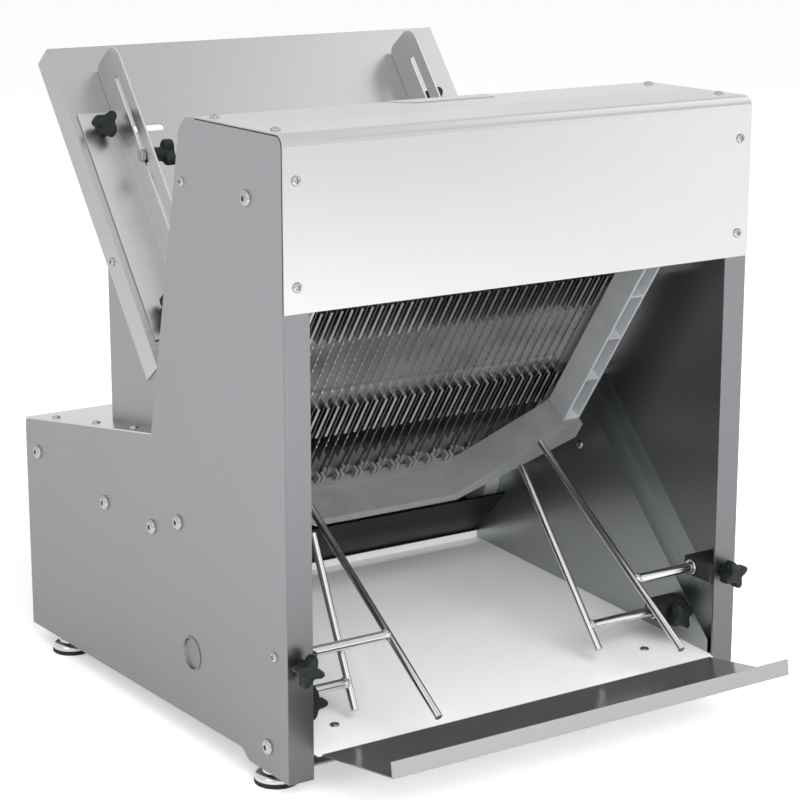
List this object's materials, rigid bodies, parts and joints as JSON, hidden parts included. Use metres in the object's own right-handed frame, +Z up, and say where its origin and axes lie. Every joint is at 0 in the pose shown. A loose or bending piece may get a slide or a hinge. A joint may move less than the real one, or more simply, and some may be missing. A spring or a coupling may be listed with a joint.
{
  "type": "bread slicer machine",
  "caption": "Bench bread slicer: sloped infeed hopper with side fences, two counter-moving serrated blade frames on a crank drive, front chute with guide rods.",
  "frame": {"origin": "on the floor under the middle of the machine", "axes": "+Z up, the chute faces -Y, +X to the right seen from the chute"},
  "size_m": [0.5765, 0.7132, 0.679],
  "materials": {
    "brushed_panel": "brushed stainless sheet",
    "polished_sheet": "fine polished stainless sheet",
    "dark_sheet": "stainless sheet in shade",
    "cast_aluminium": "sand-cast and machined",
    "blade_steel": "ground spring steel",
    "rod_steel": "bright round rod",
    "black_plastic": "moulded black",
    "nylon": "black nylon",
    "machine_steel": "turned steel",
    "belt_rubber": "black belt",
    "foot_rubber": "black rubber pad",
    "motor_paint": "grey enamel",
    "green_plastic": "green cap",
    "red_plastic": "red cap"
  },
  "bodies": {
    "housing": {"left_panel": "brushed_panel", "right_panel": "brushed_panel", "base_plate": "brushed_panel", "rear_panel": "brushed_panel", "rear_cover": "polished_sheet", "front_hood": "polished_sheet", "inner_wall_left": "dark_sheet", "inner_wall_right": "dark_sheet", "chute_tray": "polished_sheet", "drive_cover": "dark_sheet", "hopper_plate": "polished_sheet", "hopper_gussets": "brushed_panel", "upper_comb": "dark_sheet", "lower_comb": "dark_sheet", "slide_rails": "nylon", "rail_brackets": "brushed_panel", "crank_bearings": "cast_aluminium", "motor": "motor_paint", "drive_belt": "belt_rubber", "clamp_blocks": "machine_steel", "housing_screws": "brushed_panel", "hole_plug": "brushed_panel", "switch_plate": "black_plastic", "cable_gland": "black_plastic"},
    "front_frame": {"front_frame_sides": "cast_aluminium", "front_upper_beam": "cast_aluminium", "front_lower_beam": "cast_aluminium", "front_blades": "blade_steel"},
    "rear_frame": {"rear_frame_sides": "cast_aluminium", "rear_upper_beam": "cast_aluminium", "rear_lower_beam": "cast_aluminium", "rear_blades": "blade_steel"},
    "crank": {"crankshaft": "machine_steel", "driven_pulley": "cast_aluminium"},
    "front_conrod": {"front_conrod": "cast_aluminium"},
    "rear_conrod": {"rear_conrod": "cast_aluminium"},
    "motor_pulley": {"motor_pulley": "cast_aluminium"},
    "guide_rod_upper_right": {"guide_rod_upper_right": "rod_steel"},
    "guide_rod_upper_left": {"guide_rod_upper_left": "rod_steel"},
    "guide_rod_lower_right": {"guide_rod_lower_right": "rod_steel"},
    "guide_rod_lower_left": {"guide_rod_lower_left": "rod_steel"},
    "clamp_knob_upper_right": {"clamp_knob_upper_right": "black_plastic"},
    "clamp_knob_upper_left": {"clamp_knob_upper_left": "black_plastic"},
    "clamp_knob_lower_right": {"clamp_knob_lower_right": "black_plastic"},
    "clamp_knob_lower_left": {"clamp_knob_lower_left": "black_plastic"},
    "left_fence": {"left_fence": "polished_sheet"},
    "right_fence": {"right_fence": "polished_sheet"},
    "left_fence_knob_upper": {"left_fence_knob_upper": "black_plastic"},
    "left_fence_knob_lower": {"left_fence_knob_lower": "black_plastic"},
    "left_fence_knob_wall": {"left_fence_knob_wall": "black_plastic"},
    "right_fence_knob_upper": {"right_fence_knob_upper": "black_plastic"},
    "right_fence_knob_lower": {"right_fence_knob_lower": "black_plastic"},
    "right_fence_knob_wall": {"right_fence_knob_wall": "black_plastic"},
    "foot_front_left": {"foot_front_left": "foot_rubber"},
    "foot_front_right": {"foot_front_right": "foot_rubber"},
    "foot_rear_left": {"foot_rear_left": "foot_rubber"},
    "foot_rear_right": {"foot_rear_right": "foot_rubber"},
    "start_button": {"start_button": "green_plastic"},
    "stop_button": {"stop_button": "red_plastic"}
  },
  "joints": [
    {"name": "front_frame_slide", "type": "slide", "parent": "housing", "child": "front_frame", "axis": [0, -0.5707, 0.8211], "range_m": [-0.015, 0.015]},
    {"name": "rear_frame_slide", "type": "slide", "parent": "housing", "child": "rear_frame", "axis": [0, -0.5707, 0.8211], "range_m": [-0.015, 0.015]},
    {"name": "crank_spin", "type": "hinge", "parent": "housing", "child": "crank", "pos_m": [0, 0.1925, 0.147], "axis": [1, 0, 0], "continuous": true},
    {"name": "front_conrod_turn", "type": "hinge", "parent": "crank", "child": "front_conrod", "pos_m": [-0.045, 0.20482, 0.15556], "axis": [1, 0, 0], "continuous": true},
    {"name": "rear_conrod_turn", "type": "hinge", "parent": "crank", "child": "rear_conrod", "pos_m": [0.045, 0.18018, 0.13844], "axis": [1, 0, 0], "continuous": true},
    {"name": "motor_pulley_spin", "type": "hinge", "parent": "housing", "child": "motor_pulley", "pos_m": [0.264, 0.2695, 0.114], "axis": [1, 0, 0], "continuous": true},
    {"name": "guide_rod_upper_right_slide", "type": "slide", "parent": "housing", "child": "guide_rod_upper_right", "axis": [-1, 0, 0], "range_m": [0, 0.02]},
    {"name": "guide_rod_lower_right_slide", "type": "slide", "parent": "housing", "child": "guide_rod_lower_right", "axis": [-1, 0, 0], "range_m": [0, 0.02]},
    {"name": "guide_rod_upper_left_slide", "type": "slide", "parent": "housing", "child": "guide_rod_upper_left", "axis": [1, 0, 0], "range_m": [0, 0.02]},
    {"name": "guide_rod_lower_left_slide", "type": "slide", "parent": "housing", "child": "guide_rod_lower_left", "axis": [1, 0, 0], "range_m": [0, 0.015]},
    {"name": "clamp_knob_upper_right_turn", "type": "hinge", "parent": "housing", "child": "clamp_knob_upper_right", "pos_m": [0.266, -0.2295, 0.135], "axis": [0, -1, 0], "range_deg": [0, 720]},
    {"name": "clamp_knob_lower_right_turn", "type": "hinge", "parent": "housing", "child": "clamp_knob_lower_right", "pos_m": [0.234, -0.1825, 0.081], "axis": [0, -1, 0], "range_deg": [0, 720]},
    {"name": "clamp_knob_upper_left_turn", "type": "hinge", "parent": "housing", "child": "clamp_knob_upper_left", "pos_m": [-0.266, -0.2295, 0.135], "axis": [0, -1, 0], "range_deg": [0, 720]},
    {"name": "clamp_knob_lower_left_turn", "type": "hinge", "parent": "housing", "child": "clamp_knob_lower_left", "pos_m": [-0.234, -0.1825, 0.081], "axis": [0, -1, 0], "range_deg": [0, 720]},
    {"name": "left_fence_slide", "type": "slide", "parent": "housing", "child": "left_fence", "axis": [1, 0, 0], "range_m": [-0.006, 0.06]},
    {"name": "right_fence_slide", "type": "slide", "parent": "housing", "child": "right_fence", "axis": [-1, 0, 0], "range_m": [-0.02, 0.045]},
    {"name": "left_fence_knob_upper_turn", "type": "hinge", "parent": "left_fence", "child": "left_fence_knob_upper", "pos_m": [-0.222, 0.24448, 0.59214], "axis": [0, -0.7912, 0.6115], "range_deg": [0, 720]},
    {"name": "left_fence_knob_lower_turn", "type": "hinge", "parent": "left_fence", "child": "left_fence_knob_lower", "pos_m": [-0.222, 0.10689, 0.41411], "axis": [0, -0.7912, 0.6115], "range_deg": [0, 720]},
    {"name": "left_fence_knob_wall_turn", "type": "hinge", "parent": "left_fence", "child": "left_fence_knob_wall", "pos_m": [-0.2, 0.18596, 0.57038], "axis": [1, 0, 0], "range_deg": [0, 720]},
    {"name": "right_fence_knob_upper_turn", "type": "hinge", "parent": "right_fence", "child": "right_fence_knob_upper", "pos_m": [0.204, 0.24448, 0.59214], "axis": [0, -0.7912, 0.6115], "range_deg": [0, 720]},
    {"name": "right_fence_knob_lower_turn", "type": "hinge", "parent": "right_fence", "child": "right_fence_knob_lower", "pos_m": [0.204, 0.10689, 0.41411], "axis": [0, -0.7912, 0.6115], "range_deg": [0, 720]},
    {"name": "right_fence_knob_wall_turn", "type": "hinge", "parent": "right_fence", "child": "right_fence_knob_wall", "pos_m": [0.182, 0.18596, 0.57038], "axis": [-1, 0, 0], "range_deg": [0, 720]},
    {"name": "foot_front_left_height", "type": "slide", "parent": "housing", "child": "foot_front_left", "axis": [0, 0, -1], "range_m": [0, 0.008]},
    {"name": "foot_front_right_height", "type": "slide", "parent": "housing", "child": "foot_front_right", "axis": [0, 0, -1], "range_m": [0, 0.008]},
    {"name": "foot_rear_left_height", "type": "slide", "parent": "housing", "child": "foot_rear_left", "axis": [0, 0, -1], "range_m": [0, 0.008]},
    {"name": "foot_rear_right_height", "type": "slide", "parent": "housing", "child": "foot_rear_right", "axis": [0, 0, -1], "range_m": [0, 0.008]},
    {"name": "start_button_press", "type": "slide", "parent": "housing", "child": "start_button", "axis": [-1, 0, 0], "range_m": [0, 0.0025], "stiffness_N_per_m": 800},
    {"name": "stop_button_press", "type": "slide", "parent": "housing", "child": "stop_button", "axis": [-1, 0, 0], "range_m": [0, 0.0025], "stiffness_N_per_m": 800}
  ],
  "couplings": [
    {"joint": "rear_frame_slide", "follows": "front_frame_slide", "ratio": -1},
    {"joint": "front_conrod_turn", "follows": "crank_spin", "ratio": -1},
    {"joint": "rear_conrod_turn", "follows": "crank_spin", "ratio": -1},
    {"joint": "motor_pulley_spin", "follows": "crank_spin", "ratio": 2}
  ]
}
